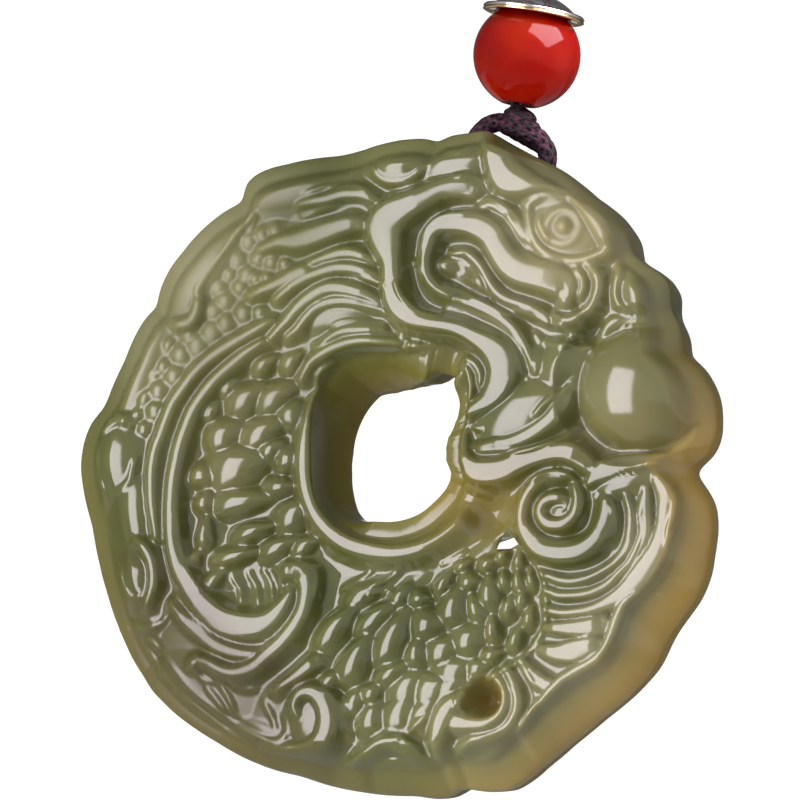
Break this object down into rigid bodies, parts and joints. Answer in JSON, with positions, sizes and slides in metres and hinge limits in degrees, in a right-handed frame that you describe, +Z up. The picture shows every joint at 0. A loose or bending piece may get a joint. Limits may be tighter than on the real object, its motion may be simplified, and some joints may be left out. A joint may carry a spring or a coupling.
{
  "type": "ring pendant on a cord",
  "caption": "Carved jade ring pendant, a coiled dragon-fish, hung on a looped braided cord with a round bead and a metal cap.",
  "frame": {"origin": "underside of the top of the cord's loop, where the pendant hangs", "axes": "+Z up along the cord, the carved face towards -Y, +X to the right seen from the front"},
  "size_m": [0.0554, 0.0108, 0.0802],
  "materials": {
    "jade": "polished translucent nephrite",
    "cord": "braided dark purple cord",
    "bead": "polished red agate",
    "cap": "polished silver with a gold lower lip"
  },
  "bodies": {
    "cord": {"cord_bight": "cord", "cord_knot": "cord", "red_bead": "bead", "bead_cap": "cap", "cord_loop": "cord"},
    "stone": {"jade_carving": "jade"}
  },
  "joints": [
    {"name": "stone_swing", "type": "hinge", "parent": "cord", "child": "stone", "pos_m": [-0.00074, 0, -0.02689], "axis": [0.9511, 0, -0.309], "range_deg": [-15, 15]}
  ]
}
